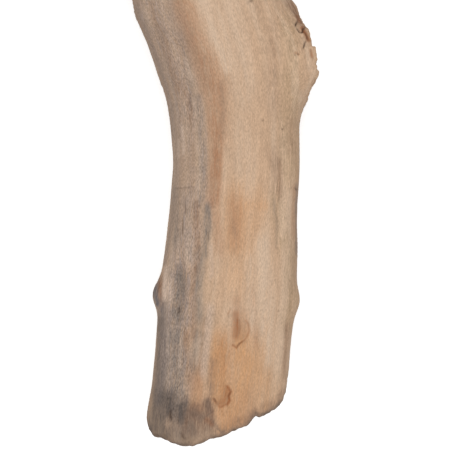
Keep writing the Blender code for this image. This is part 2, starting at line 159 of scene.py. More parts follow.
DEAD_TWIGS = [
    [(-62.0, 214.0, 25.0, 4.2, 4.0), (-71.0, 219.5, 20.0, 3.6, 3.4), (-78.5, 222.5, 16.5, 3.0, 2.9)],
    [(15.0, 200.0, 51.0, 4.0, 3.8), (7.0, 206.0, 57.0, 3.5, 3.3), (2.0, 210.5, 62.0, 2.9, 2.8)],
    [(-84.0, 199.0, 40.0, 3.4, 3.3), (-86.0, 191.0, 45.5, 2.9, 2.8), (-88.5, 185.5, 49.0, 2.5, 2.4)],
    [(68.0, 223.0, 17.0, 3.3, 3.2), (74.0, 219.5, 22.0, 2.8, 2.7), (79.0, 216.0, 25.5, 2.4, 2.3)],
    [(-62.0, 240.0, 18.0, 4.4, 4.2), (-53.0, 236.0, 22.0, 3.5, 3.4), (-47.0, 234.0, 26.0, 2.9, 2.8)],
]
FORK_FILLET = 11.0
SLIM_FILLET = 7.0
TWIG_FILLET = 4.5
END_ROUNDING = 1.4
SECTION_POWER = 2.25  # 2 is an ellipse, and more is squarer
LOBE_PITCH = 60.0  # how far along a limb its lobes take to turn by a radian
SAMPLE_STEP = 1.5
NOWHERE_NEAR = 99.0
POINTS_AT_ONCE = 4000


class Limb:
    """A tapering limb, sampled closely along its heart, with a frame across each sample."""

    def __init__(self, stations, lobing, fillet, cut_lean=(0.0, 0.0)):
        line = smooth_line(stations)
        self.heart = line[:, :3]
        self.half_width, self.half_depth = line[:, 3], line[:, 4]
        run = np.gradient(self.heart, axis=0)
        self.along = run / np.linalg.norm(run, axis=1, keepdims=True)
        across = np.cross(self.along, (0.0, 0.0, 1.0))
        self.across = across / np.linalg.norm(across, axis=1, keepdims=True)
        self.up = np.cross(self.across, self.along)
        steps = np.linalg.norm(np.diff(self.heart, axis=0), axis=1)
        self.arc = np.concatenate([[0.0], np.cumsum(steps)])
        self.lobing, self.fillet, self.cut_lean = lobing, fillet, cut_lean


def smooth_line(stations):
    """Points about SAMPLE_STEP apart on a Catmull-Rom curve through the stations."""
    knots = np.array(stations, float)
    knots = np.vstack([2 * knots[0] - knots[1], knots, 2 * knots[-1] - knots[-2]])
    line = []
    for before, start, end, after in zip(knots, knots[1:], knots[2:], knots[3:]):
        count = math.ceil(np.linalg.norm((end - start)[:3]) / SAMPLE_STEP)
        for t in np.arange(count) / count:
            bend = 2 * before - 5 * start + 4 * end - after
            twist = 3 * start - before - 3 * end + after
            line.append(start + 0.5 * t * (end - before + t * (bend + t * twist)))
    line.append(knots[-2])
    return np.array(line)


def section_reach(limb, sample, angle):
    """How far the surface lies from the heart, in a direction round the section at a sample."""
    wide = np.abs(np.cos(angle)) / limb.half_width[sample]
    deep = np.abs(np.sin(angle)) / limb.half_depth[sample]
    reach = (wide**SECTION_POWER + deep**SECTION_POWER) ** (-1 / SECTION_POWER)
    turn = limb.arc[sample] / LOBE_PITCH
    # Two waves go round the section, and turn opposite ways along the limb.
    lobes = 0.6 * np.cos(2 * angle + 2.2 * turn) + 0.5 * np.cos(3 * angle - 3.1 * turn + 1.0)
    return reach * (1 + limb.lobing * lobes)


def in_grain(limb, points):
    """Where points lie in a limb: across it, above its heart, past the sample, and which sample."""
    sample = np.empty(len(points), int)
    for first in range(0, len(points), POINTS_AT_ONCE):
        chunk = points[first : first + POINTS_AT_ONCE]
        gaps = chunk[:, None, :] - limb.heart[None, :, :]
        sample[first : first + POINTS_AT_ONCE] = (gaps**2).sum(axis=2).argmin(axis=1)
    gap = points - limb.heart[sample]
    across = (gap * limb.across[sample]).sum(axis=1)
    up = (gap * limb.up[sample]).sum(axis=1)
    beyond = (gap * limb.along[sample]).sum(axis=1)
    return across, up, beyond, sample


def smooth_max(a, b, rounding):
    """The larger of two distances, with the edge where they meet rounded."""
    share = np.clip(0.5 + 0.5 * (a - b) / rounding, 0.0, 1.0)
    return b + share * (a - b) + rounding * share * (1 - share)


def smooth_min(a, b, rounding):
    """The smaller of two distances, with the corner where they meet filled."""
    return -smooth_max(-a, -b, rounding)


def limb_distance(limb, points):
    """About how far points lie outside a limb: negative inside it, and how far past its broken end."""
    room = 2 * max(limb.half_width.max(), limb.half_depth.max()) + limb.fillet
    low, high = limb.heart.min(axis=0) - room, limb.heart.max(axis=0) + room
    near = np.flatnonzero(((points > low) & (points < high)).all(axis=1))
    distance = np.full(len(points), NOWHERE_NEAR)
    past_end = np.full(len(points), -NOWHERE_NEAR)
    across, up, beyond, sample = in_grain(limb, points[near])
    side = np.hypot(across, up) - section_reach(limb, sample, np.arctan2(up, across))
    past_start = np.where(sample == 0, -beyond, -NOWHERE_NEAR)
    lean = limb.cut_lean[0] * across + limb.cut_lean[1] * up
    past_end[near] = np.where(sample == len(limb.heart) - 1, beyond + lean, -NOWHERE_NEAR)
    distance[near] = smooth_max(side, np.maximum(past_start, past_end[near]), END_ROUNDING)
    return distance, past_end


def ragged(points, size, shift=0.0):
    """Smooth noise from -1 to 1 at each point, with bumps of a size, given for each direction. Each
    shift reads another stretch of the noise, so that two reliefs don't rise together."""
    scaled = points / size + shift
    return np.array([noise.noise(Vector(p)) for p in scaled])


stem = Limb(STEM, lobing=0.012, fillet=FORK_FILLET, cut_lean=(0.2, 0.1))
limbs = [
    Limb(LIFTED_LIMB, lobing=0.045, fillet=FORK_FILLET, cut_lean=(-0.25, 0.1)),
    Limb(PROP_LIMB, lobing=0.05, fillet=SLIM_FILLET, cut_lean=(0.3, 0.2)),
    Limb(SIDE_LIMB, lobing=0.05, fillet=SLIM_FILLET, cut_lean=(-0.2, -0.2)),
    Limb(BACK_LIMB, lobing=0.05, fillet=SLIM_FILLET, cut_lean=(0.1, 0.3)),
    Limb(INNER_LIMB, lobing=0.05, fillet=SLIM_FILLET, cut_lean=(-0.3, 0.1)),
]
limbs += [Limb(twig, lobing=0.05, fillet=TWIG_FILLET, cut_lean=(0.15, 0.3)) for twig in TWIGS]
limbs += [Limb(twig, lobing=0.04, fillet=TWIG_FILLET, cut_lean=(0.35, -0.2)) for twig in DEAD_TWIGS]


# The butt: the thick end, sawn and broken off long ago, and blasted until its edge went round. Seen
# from above its edge runs down the left side to a foot and up again to the right.
BUTT_EDGE = [
    (-30.0, 11.6), (-28.0, 6.7), (-26.6, 4.6), (-24.5, 3.6), (-22.2, 3.3), (-20.0, 2.5), (-17.6, 1.9),
    (-15.4, 1.6), (-12.3, 1.8), (-9.3, 2.7), (-7.7, 3.9), (-4.1, 4.9), (0.8, 6.8), (3.3, 7.5), (4.6, 8.6),
    (6.2, 10.5), (7.4, 9.8), (10.7, 11.1), (13.1, 12.2), (15.1, 13.8), (16.2, 15.8), (18.6, 23.0),
]
BUTT_ROUNDING = 2.4
BUTT_ROUGHNESS = 0.5
BUTT_GRAIN = 5.0


def past_edge(points, edge, order):
    """How far points lie past a line of points in the order of X (0) or of Y (1), seen from above."""
    edge = np.array(edge)
    run, rise = np.diff(edge[:, order]), np.diff(edge[:, 1 - order])
    piece = np.clip(np.searchsorted(edge[:, order], points[:, order]) - 1, 0, len(run) - 1)
    reach = np.interp(points[:, order], edge[:, order], edge[:, 1 - order])
    return (points[:, 1 - order] - reach) * (run / np.hypot(run, rise))[piece]


def past_butt(points):
    """How far points lie past the butt's edge."""
    return -past_edge(points, BUTT_EDGE, 0)


# The torn stub: a limb that tore off beside the fork and left a short collar, whose splintered face
# looks to the right. Its rim, seen from above, is a line of points up the right side of the collar.
TORN_STUB = [
    (2.0, 117.0, 20.0, 14.2, 14.2),
    (11.5, 119.0, 20.3, 12.6, 13.2),
    (18.5, 120.0, 20.6, 10.8, 12.0),
    (24.5, 120.8, 20.8, 9.6, 11.2),
    (31.0, 122.4, 21.0, 9.2, 10.8),
]
TEAR_EDGE = [
    (40.0, 98.0), (22.6, 108.0), (23.6, 111.0), (24.8, 112.7), (25.3, 113.8), (25.4, 114.9), (24.8, 115.9),
    (24.6, 117.4), (24.8, 118.8), (24.4, 121.3), (24.1, 122.2), (23.2, 122.6), (23.1, 123.7), (22.8, 125.5),
    (22.3, 127.9), (21.2, 129.5), (20.6, 131.1), (19.8, 133.9), (19.1, 135.8), (16.5, 138.2), (40.0, 143.0),
    (200.0, 150.0),
]
TEAR_ROUNDING = 1.2
SPLINTER = (0.9, 0.9, 2.4)  # the grain of the splinters across the torn face
SPLINTER_DEPTH = 0.3
stub = Limb(TORN_STUB, lobing=0.02, fillet=FORK_FILLET)


def past_tear(points):
    """How far points lie past the torn face, without its splinters."""
    return past_edge(points, TEAR_EDGE, 1)


# Swellings, pits and knots in the wood, and the hollow flutes that run up the stem. A swelling is
# where it sits, how high it is (pits are negative), how far it reaches along Y and how far round. A
# flute is its foot and its head, seen from above, its depth and its half width.
SWELLINGS = [
    ((-24.0, 47.0, 17.5), 2.5, 4.6, 7.0),
    ((19.6, 44.5, 17.0), 1.5, 4.2, 8.0),
    ((-17.1, 47.2, 29.0), -1.5, 6.5, 2.4),
    ((-13.2, 48.5, 33.0), 0.6, 7.5, 2.2),
    ((0.9, 37.7, 33.5), 0.7, 5.5, 3.4),
    ((0.6, 38.3, 34.5), -0.8, 3.6, 1.5),
    ((-13.7, 105.0, 34.0), -0.6, 3.4, 1.8),
    ((17.0, 82.0, 27.0), 0.6, 5.0, 4.0),
    ((-21.0, 14.0, 25.0), -0.8, 7.0, 2.4),
    ((-15.5, 2.0, 30.0), -1.4, 3.4, 2.0),
    ((-20.0, 78.0, 9.0), 1.3, 7.5, 5.0),
    ((14.5, 62.0, 6.0), 1.3, 6.0, 5.0),
    ((-16.5, 112.0, 8.0), -1.6, 9.0, 4.0),
    ((12.0, 102.0, 5.5), -1.2, 7.0, 4.0),
    ((17.5, 137.0, 23.0), 2.2, 4.0, 4.5),
    ((22.8, 131.8, 23.0), -0.6, 3.0, 4.5),
    ((-40.0, 182.0, 40.0), 1.5, 5.5, 4.5),
    ((-58.0, 197.0, 14.0), 1.4, 5.0, 5.0),
]
FLUTES = [
    ((-18.2, 10.0), (-16.8, 66.0), 0.7, 2.2),
    ((-12.4, 14.0), (-10.6, 74.0), 0.6, 1.8),
    ((-8.2, 20.0), (-7.6, 84.0), 0.5, 1.5),
    ((-8.4, 1.0), (-7.0, 19.0), 0.9, 1.6),
    ((-17.6, 72.0), (-26.5, 150.0), 0.7, 2.8),
    ((-11.0, 92.0), (-20.5, 150.0), 0.6, 2.4),
    ((13.2, 60.0), (14.2, 96.0), 0.5, 1.8),
    ((7.6, 28.0), (7.2, 58.0), 0.3, 1.2),
]
FLUTE_FLOOR = 20.0
FLUTE_FADE = 6.0
FLUTE_ENDS = 0.2
KNOT_GAP = 23.0
KNOT_START = 15.0
KNOT_SIZE = 1.8
KNOT_GROWTH = 0.18
KNOT_RISE = 0.25
LEAF_ANGLE = math.radians(137.5)
GNARL = 0.45
GNARL_SIZE = (9.0, 11.7, 9.0)
GNARL_ON_STEM = 0.15
GNARL_FROM_Y = 140.0
GNARL_FADE = 30.0


def limb_knots(limb):
    """The knots of a limb, in the form of SWELLINGS: one each KNOT_GAP, turned by the leaf angle."""
    knots = []
    for count in range(1, int(limb.arc[-1] / KNOT_GAP) + 1):
        sample = int(np.searchsorted(limb.arc, KNOT_START + (count - 1) * KNOT_GAP))
        angle = count * LEAF_ANGLE + len(limb.heart)
        spoke = math.cos(angle) * limb.across[sample] + math.sin(angle) * limb.up[sample]
        centre = limb.heart[sample] + section_reach(limb, sample, angle) * spoke
        size = KNOT_SIZE + KNOT_GROWTH * limb.half_width[sample]
        knots.append((centre, KNOT_RISE * size, size, size))
    return knots


def swellings_and_flutes(points):
    """How far the wood stands out from its plain limbs."""
    height = np.zeros(len(points))
    for centre, rise, length, girth in SWELLINGS + knots:
        gap = (points - centre) / (girth, length, girth)
        height += rise * np.exp(-(gap**2).sum(axis=1))
    for (foot_x, foot_y), (head_x, head_y), depth, width in FLUTES:
        along = (points[:, 1] - foot_y) / (head_y - foot_y)
        middle = foot_x + along * (head_x - foot_x)
        window = np.clip(np.minimum(along, 1 - along) / FLUTE_ENDS, 0, 1)
        upper = np.clip((points[:, 2] - FLUTE_FLOOR) / FLUTE_FADE, 0, 1)
        gap = (points[:, 0] - middle) / width
        height -= depth * window * upper * np.exp(-(gap**2))
    on_limbs = np.clip((points[:, 1] - GNARL_FROM_Y) / GNARL_FADE, GNARL_ON_STEM, 1)
    return height + GNARL * on_limbs * ragged(points, GNARL_SIZE)


def wood_distance(points):
    """About how far points lie outside the whole branch."""
    distance = smooth_min(limb_distance(stem, points)[0], limb_distance(stub, points)[0], FORK_FILLET)
    for limb in limbs:
        distance = smooth_min(distance, limb_distance(limb, points)[0], limb.fillet)
    distance -= swellings_and_flutes(points)
    distance = smooth_max(distance, past_tear(points), TEAR_ROUNDING)
    butt = past_butt(points) + BUTT_ROUGHNESS * ragged(points, BUTT_GRAIN)
    return smooth_max(distance, butt, BUTT_ROUNDING)


knots = [knot for limb in limbs for knot in limb_knots(limb)]


# The colours of the upper face, as brush strokes along the grain: weathered tones, and painted highlights
# on its ridges and painted shade along its edges. They were marked on the photo, so their places are its
# pixels: how strong, half how wide, and the places that the stroke runs through. on_stem() finds where on
# the wood they lie. Dark strokes are splits and pits as well, painted dark partly as the shade inside them.
VIEWER = (-3.1, 68.4, 390.0)  # the camera's place
PHOTO_MIDDLE = 225.0
FOCUS_HEIGHT = 18.0
PIXEL = 0.3125  # what a pixel spans on the level FOCUS_HEIGHT
OUTERMOST = 0.9  # marks past this share of the half width lie as high as it does
SIGHT_STEPS = 4  # each finds the surface's height once more, from the last place on it
STROKES = {
    "honey": [
        (0.85, 11, [(221, 353), (221, 370), (222, 390)]),
        (0.6, 14, [(240, 352), (245, 370), (240, 394)]),
        (0.7, 11, [(224, 410), (238, 415), (226, 424)]),
        (0.4, 12, [(262, 358), (263, 388)]),
        (0.35, 15, [(266, 398), (250, 406)]),
        (0.45, 12, [(236, 206), (236, 238)]),
        (0.35, 4, [(226, 202), (246, 206), (266, 205)]),
        (0.5, 8, [(197, 380), (196, 400)]),
        (0.5, 5, [(187, 272), (186, 285), (186, 310), (187, 336)]),
        (0.25, 12, [(258, 208), (238, 250), (236, 280)]),
    ],
    "straw": [
        (0.3, 10, [(288, 30), (291, 60), (290, 100), (289, 140), (290, 170)]),
        (0.35, 7, [(292, 250), (291, 280), (294, 300), (288, 320)]),
        (0.35, 8, [(278, 205), (282, 235)]),
    ],
    "warm": [
        (0.6, 11, [(182, 4), (194, 40), (207, 72), (215, 92), (217, 115), (217, 138)]),
        (0.35, 7, [(200, 24), (208, 48), (218, 72), (226, 92)]),
        (0.65, 8, [(217, 135), (216, 155), (215, 175), (213, 198)]),
        (0.4, 6, [(213, 200), (216, 220), (220, 245)]),
        (0.45, 7, [(234, 206), (234, 222), (236, 238)]),
        (0.3, 3, [(253, 290), (255, 330), (256, 345)]),
        (0.35, 9, [(224, 350), (222, 370), (222, 392)]),
        (0.65, 9, [(196, 378), (196, 396)]),
        (0.3, 10, [(222, 408), (236, 414), (246, 408)]),
        (0.35, 3, [(294, 190), (295, 212), (294, 232)]),
    ],
    # Partly pale wood and partly painted highlight: these strokes lie on the ridge down the upper face and
    # on the faces beside it that catch the light.
    "cream_and_highlight": [
        (0.8, 5, [(203, 0), (208, 15), (214, 35), (220, 50), (227, 66)]),
        (0.35, 14, [(230, 20), (238, 60), (243, 90)]),
        (0.35, 10, [(240, 130), (243, 150), (245, 182)]),
        (0.7, 8, [(262, 250), (265, 270), (267, 300), (267, 330), (270, 352)]),
        (0.45, 5, [(250, 262), (251, 290), (251, 322)]),
        (0.45, 3.5, [(188, 286), (187, 304), (186, 322)]),
        (0.4, 6, [(285, 200), (284, 226)]),
    ],
    "ash": [
        (0.55, 18, [(147, 0), (160, 30), (172, 60), (180, 90), (185, 115)]),
        (0.42, 15, [(188, 115), (192, 150), (193, 180), (192, 205)]),
        (0.6, 18, [(190, 210), (187, 240), (182, 268)]),
        (0.75, 16, [(180, 280), (180, 300), (178, 340), (174, 390)]),
        (0.35, 7, [(135, 0), (147, 30), (158, 60), (167, 90), (172, 120), (175, 150), (176, 182)]),
        (0.3, 5, [(210, 310), (206, 340), (203, 365)]),
        (0.5, 5, [(198, 100), (201, 120), (203, 150), (203, 180), (201, 204)]),
    ],
    "brown": [
        (0.35, 5, [(152, 5), (158, 25), (165, 45), (171, 62), (178, 85)]),
        (0.35, 7, [(172, 0), (182, 26), (188, 40)]),
        (0.2, 7, [(190, 46), (198, 62), (206, 84)]),
        (0.4, 3.5, [(183, 85), (188, 100), (190, 118)]),
        (0.55, 3.5, [(196, 208), (197, 230), (197, 250), (196, 270), (194, 300), (195, 336)]),
        (0.85, 4.5, [(161, 283), (161, 291), (161, 298)]),
        (0.3, 3, [(186, 335), (186, 360), (188, 380)]),
        (0.25, 3, [(191, 120), (192, 150), (190, 190)]),
        (0.4, 3.5, [(278, 164), (280, 176), (279, 190)]),
        (0.35, 4, [(221, 88), (223, 110), (222, 134)]),
        (0.35, 5, [(274, 158), (277, 175), (280, 190)]),
        (0.2, 4, [(291, 125), (291, 150)]),
        (0.4, 3, [(287, 328), (286, 350), (285, 378)]),
        (0.35, 2, [(233, 222), (236, 235)]),
        (0.2, 5, [(273, 30), (272, 60), (272, 110)]),
        (0.25, 5, [(201, 325), (202, 345), (200, 365)]),
        (0.45, 4, [(212, 364), (211, 380), (211, 396)]),
        (0.85, 5, [(192, 413), (200, 413), (208, 408)]),
        (0.9, 4.5, [(209, 404), (210, 412), (210, 422)]),
        (0.7, 8, [(186, 420), (206, 421)]),
        # Painted shadow: a dark band along the butt's lower right edge.
        (0.45, 3, [(217, 432), (236, 424), (250, 417), (264, 409), (278, 401), (283, 393)]),
        # Painted shade: a thin dark line along the outline of the torn rim.
        (0.75, 3.4, [(290, 2), (296, 9), (300, 17), (303, 25)]),
    ],
    "grey": [
        (0.22, 4, [(168, 0), (172, 20), (180, 40), (186, 60), (190, 82)]),
        (0.25, 3.5, [(197, 98), (200, 120), (202, 140), (204, 160), (203, 180), (200, 202)]),
        (0.65, 3.5, [(207, 210), (207, 225), (206, 240), (205, 252)]),
        (0.5, 5, [(201, 256), (200, 280), (199, 300), (200, 316)]),
        (0.45, 4, [(198, 336), (196, 350), (193, 366)]),
        (0.75, 5.5, [(180, 279), (180, 290)]),
        (0.75, 5.5, [(177, 300), (176.5, 313)]),
        (0.55, 8, [(174, 338), (176, 360), (177, 390)]),
        (0.65, 4, [(178, 366), (178, 392)]),
        (0.35, 4, [(175, 195), (176, 215), (176, 240)]),
        (0.25, 2, [(274, 203), (276, 225), (276, 245)]),
    ],
    # Partly grey weathering and partly painted shade: these strokes run down the left and right edges,
    # where the sides turn from the light, and beside the knob on the left.
    "slate_and_edge_shade": [
        (0.3, 4, [(133, 0), (144, 28), (155, 58), (163, 84), (169, 108), (172, 135)]),
        (0.35, 3, [(172, 190), (171, 215), (168, 240), (164, 262)]),
        (0.9, 4.5, [(154, 284), (154, 292), (156, 301)]),
        (0.2, 6, [(175, 140), (176, 165), (175, 190)]),
        (0.65, 7, [(161, 308), (162, 330), (162, 350), (160, 372), (158, 394)]),
        (0.5, 2, [(297, 186), (298, 205), (298, 225), (298, 252)]),
    ],
    "soil": [
        (0.75, 13, [(162, 402), (160, 412), (156, 424)]),
        (0.8, 8, [(171, 400), (171, 414)]),
        (0.9, 9, [(180, 408), (180, 415)]),
        (0.66, 13, [(158, 431), (172, 433), (188, 433)]),
        (0.36, 9, [(196, 430), (208, 428)]),
        (0.5, 3, [(208, 402), (209, 412)]),
        (0.5, 5, [(187, 416), (202, 418)]),
        (0.35, 5, [(158, 382), (158, 350), (160, 322)]),
        (0.35, 2, [(212, 384), (212, 394)]),
        (0.55, 1.6, [(208, 417), (212, 425), (217, 430), (223, 430)]),
    ],
    # Partly bleached fibres and partly painted highlight, such as the lit ridge beside the knob on the
    # left.
    "bleached_and_highlight": [
        (1.0, 2.2, [(166, 270), (165.5, 284), (164.5, 298)]),
        (0.5, 3, [(169.5, 284), (170, 298)]),
        (0.35, 3.5, [(210, 308), (208, 330), (206, 350), (203, 372)]),
        (0.6, 1.8, [(182, 128), (183, 140), (183, 153)]),
        (0.45, 1.8, [(178, 142), (178, 156)]),
        (0.4, 1.6, [(178, 240), (177, 262)]),
        (0.35, 1.6, [(193, 97), (196, 113)]),
        (0.45, 1.5, [(211.5, 246), (211.5, 276)]),
        (0.4, 1.5, [(187, 250), (187, 268)]),
        (0.35, 1.5, [(186, 60), (191, 76)]),
        (0.35, 1.4, [(168, 330), (167, 352)]),
        (0.35, 1.4, [(181, 338), (181, 366)]),
        (0.3, 1.6, [(199, 340), (197, 362)]),
    ],
    "rust": [
        (0.15, 3, [(160, 284), (160, 296)]),
        (0.62, 4.4, [(236, 314), (237, 325), (236, 336)]),
        (0.72, 2.8, [(237, 319), (237.8, 328), (237, 336)]),
        (0.25, 5, [(236, 300), (237, 312)]),
        (0.2, 8, [(240, 316), (241, 334)]),
        (0.5, 1.0, [(246, 320), (248.4, 325), (249, 331), (247.5, 336), (244, 340)]),
        (0.7, 1.0, [(244, 340), (240.5, 343), (236.5, 348), (232.5, 345)]),
        (0.4, 1.0, [(230.6, 309.5), (228, 314)]),
        (0.85, 1.7, [(227, 387), (230.5, 392), (228, 397), (229.5, 401), (227, 405)]),
        (0.6, 1.4, [(214, 400), (217, 404), (220, 407), (225, 405)]),
        (0.5, 4, [(227, 391), (226, 400), (220, 403)]),
        (0.28, 4.5, [(218, 153), (218, 164), (217, 175)]),
        (0.85, 2.3, [(302, 29), (305.5, 35), (308, 42)]),
        (0.6, 1.3, [(310, 52), (311.5, 58)]),
        (0.45, 1.2, [(294.6, 55), (297.4, 56.5)]),
        (0.5, 1.6, [(297, 14), (300, 22)]),
        (0.4, 2.5, [(207, 421), (211, 425)]),
    ],
    # Splits, pits and a crease, carved a little and painted dark: the dark is partly the wood's own and
    # partly painted shade inside them.
    "dark": [
        (0.4, 1.6, [(189, 93), (190, 103), (192, 111)]),
        (0.6, 1, [(179, 306), (178, 314)]),
        (0.55, 0.6, [(184.5, 203), (185, 209), (185, 214)]),
        (0.55, 0.6, [(182.5, 218), (182.5, 227), (182, 235)]),
        (0.3, 0.6, [(174, 188), (184, 187.5), (193, 187)]),
        (0.4, 0.8, [(208, 231), (208, 240)]),
        (0.75, 1.1, [(170.5, 409), (170, 415), (171.5, 421)]),
        (0.5, 1.4, [(181, 432), (183, 437), (186, 440)]),
        (0.25, 0.8, [(240, 321), (240.3, 328), (239.5, 335)]),
        (0.25, 0.8, [(243, 342), (239, 344), (236, 347)]),
        (0.35, 0.8, [(230.5, 391.5), (228.7, 396), (229.5, 400)]),
        (0.95, 0.9, [(295, 27.4), (296, 24.5), (297.8, 21.2)]),
        (0.85, 0.8, [(296.4, 28.6), (298.5, 32), (300.5, 33.6)]),
        (0.95, 0.9, [(299.6, 33.6), (302.6, 32.8), (302.8, 29.8), (305.4, 27.2)]),
        (0.6, 0.8, [(304.5, 33), (306.5, 37), (307.5, 42)]),
        (0.95, 0.8, [(302.4, 51), (304, 47), (305.2, 42.6)]),
        (0.5, 1.4, [(249, 2), (253, 1)]),
        (0.6, 0.8, [(282.5, 128.5), (282.7, 129.5)]),
        (0.6, 0.8, [(278.3, 310.7), (278.6, 311.4)]),
        (0.6, 0.9, [(216.2, 359.6), (217, 360)]),
        (0.5, 0.8, [(294, 56), (294.3, 58)]),
        (0.5, 0.8, [(297.3, 56), (297.5, 57.5)]),
        (0.5, 0.8, [(263, 119), (263.2, 121)]),
        (0.5, 0.8, [(213.5, 398.5), (216.5, 403)]),
        (0.6, 1, [(295, 188), (297, 190)]),
    ],
}
# How much longer along the grain a tone's ends run out, and how firm its sides are (2 is a soft bell).
STROKE_SQUEEZE = {tone: 0.5 for tone in STROKES} | {"soil": 0.8, "rust": 1.0, "dark": 1.0}
STROKE_EDGE = {tone: 3.0 for tone in STROKES} | {"rust": 2.4, "dark": 2.0}
SPLIT_TIP = 0.1  # the square of the strength that a dark stroke keeps at its tips
STROKE_WANDER = 0.5
WANDER_ALONG = 2.0
WANDER_SHARE = {tone: 1.0 for tone in STROKES} | {"soil": 2.2, "rust": 0.4, "dark": 0.3}
STROKE_GRAIN = (2.2, 9.0, 4.0)
SOIL_BLOTCH = (2.6, 4.0, 2.6)
SOIL_UNEVEN = 0.35


def on_stem(pixel):
    """The place on the stem's upper face, seen from straight above, that a pixel of the photo shows."""
    aimed = np.array((pixel[0] - PHOTO_MIDDLE, PHOTO_MIDDLE - pixel[1])) * PIXEL
    stations = np.array(STEM)
    height = FOCUS_HEIGHT
    for _ in range(SIGHT_STEPS):
        x, y = VIEWER[:2] + aimed * (VIEWER[2] - height) / (VIEWER[2] - FOCUS_HEIGHT)
        heart_x, _, heart_z, half_width, half_depth = (
            np.interp(y, stations[:, 1], column) for column in stations.T
        )
        side = min(abs(x - heart_x) / half_width, OUTERMOST)
        height = heart_z + half_depth * (1 - side**SECTION_POWER) ** (1 / SECTION_POWER)
    return x, y


strokes = {
    tone: [(strength, width * PIXEL, [on_stem(pixel) for pixel in line]) for strength, width, line in marks]
    for tone, marks in STROKES.items()
}


def to_stroke(points, line, squeeze):
    """How far points lie from a line, seen from above, and how far along it, from 0 to 1. Distances
    along Y are made shorter by the squeeze, so that a stroke's ends run out along the grain."""
    spots = points[:, :2] * (1.0, squeeze)
    corners = np.array(line) * (1.0, squeeze)
    nearest = np.full(len(points), NOWHERE_NEAR)
    progress = np.zeros(len(points))
    for number, (start, end) in enumerate(zip(corners, corners[1:])):
        run = end - start
        share = np.clip((spots - start) @ run / (run @ run), 0, 1)
        gap = np.hypot(*(spots - start - share[:, None] * run).T)
        progress = np.where(gap < nearest, (number + share) / (len(corners) - 1), progress)
        nearest = np.minimum(nearest, gap)
    return nearest, progress


def stroke_share(points, tone):
    """How strongly a tone colours each point of the upper face, from 0 to 1."""
    share = np.zeros(len(points))
    for strength, width, line in strokes[tone]:
        nearest, progress = to_stroke(points, line, STROKE_SQUEEZE[tone])
        if tone == "dark":
            strength = strength * np.sqrt(np.clip(4 * progress * (1 - progress), SPLIT_TIP, 1))
        share = np.maximum(share, strength * np.exp(-((nearest / width) ** STROKE_EDGE[tone])))
    return share


# The skin: a fine mesh over the whole solid, carved onto the limbs above and split smaller where the
# eye comes close: on the upper face of the stem, by its thin dark and rust strokes, and along the torn
# edge and the upper part of the butt's edge.
SKIN_FACE = 1.35
WELD = 0.01
CARVE_STEPS = (0.8, 0.5, 0.3)
CLOSE_Y = 146.0
CLOSE_FACING = -0.25
THIN_STROKE = 0.6
THIN_ROOM = 0.8
EDGE_ROOM = 1.3
EDGE_ABOVE = 17.0
BUTT_EDGE_INSIDE = 0.6
TEAR_FROM_X = 15.0
TEAR_TO_Y = 136.0
SPLIT_DEPTH = 0.45
RIDGE = (1.4, 1.4, 7.0)
RIDGE_HEIGHT = 0.09
FURROW = (4.2, 4.2, 38.0)
FURROW_HEIGHT = 0.16
RIPPLE = (6.0, 6.0, 1.7)
RIPPLE_HEIGHT = 0.05
PIT_SIZE = 1.3
PIT_DEPTH = 0.4
PIT_FROM = 0.42
CRUMB = 1.6
CRUMB_HEIGHT = 0.3
PEBBLE = (1.5, 1.5, 2.0)  # the grain turns to small pebbles where it swirls round the torn stub
PEBBLE_HEIGHT = 0.14
PEBBLES_AT = (13.0, 119.0)
PEBBLES_REACH = (10.0, 13.0)


def whole_mesh(node, face_size):
    """The CAD solid's mesh in millimetres from the foot of the butt, remade with even small faces."""
    form = bmesh.new()
    form.from_mesh(node.data)
    form.transform(node.matrix_world)
    bmesh.ops.remove_doubles(form, verts=form.verts, dist=WELD * MM)
    for corner in form.verts:
        corner.co = corner.co / MM + Vector((*ORIGIN, 0.0))
    rough = bpy.data.meshes.new("branch_rough")
    form.to_mesh(rough)
    form.free()
    holder = bpy.data.objects.new("branch_rough", rough)
    bpy.context.scene.collection.objects.link(holder)
    remesh = holder.modifiers.new("even_faces", "REMESH")
    remesh.mode = "VOXEL"
    remesh.voxel_size = face_size
    graph = bpy.context.evaluated_depsgraph_get()
    fine = bpy.data.meshes.new_from_object(holder.evaluated_get(graph))
    bpy.data.objects.remove(holder)
    bpy.data.meshes.remove(rough)
    return fine


def read_points(mesh, what):
    """A mesh's points or normals as rows of three numbers."""
    values = np.empty(len(mesh.vertices) * 3)
    mesh.vertices.foreach_get(what, values)
    return values.reshape(-1, 3)


def carve(mesh, most):
    """Moves each point along its normal to the wood's own surface, by so much at the most."""
    points = read_points(mesh, "co")
    outside = wood_distance(points).clip(-most, most)
    points -= read_points(mesh, "normal") * outside[:, None]
    mesh.vertices.foreach_set("co", points.ravel())
    mesh.update()


def split_faces(mesh, wanted):
    """Splits each face that is wanted into four."""
    form = bmesh.new()
    form.from_mesh(mesh)
    middles = np.array([face.calc_center_median() for face in form.faces])
    facing = np.array([face.normal.z for face in form.faces])
    for edge in form.edges:
        edge.tag = False
    for face, chosen in zip(form.faces, wanted(middles, facing)):
        if chosen:
            for edge in face.edges:
                edge.tag = True
    edges = [edge for edge in form.edges if edge.tag]
    bmesh.ops.subdivide_edges(form, edges=edges, cuts=1, use_grid_fill=True)
    form.to_mesh(mesh)
    form.free()


def seen_closely(points, facing):
    """Whether a face lies on the upper side of the stem, up to the fork."""
    return (points[:, 1] < CLOSE_Y) & (facing > CLOSE_FACING)


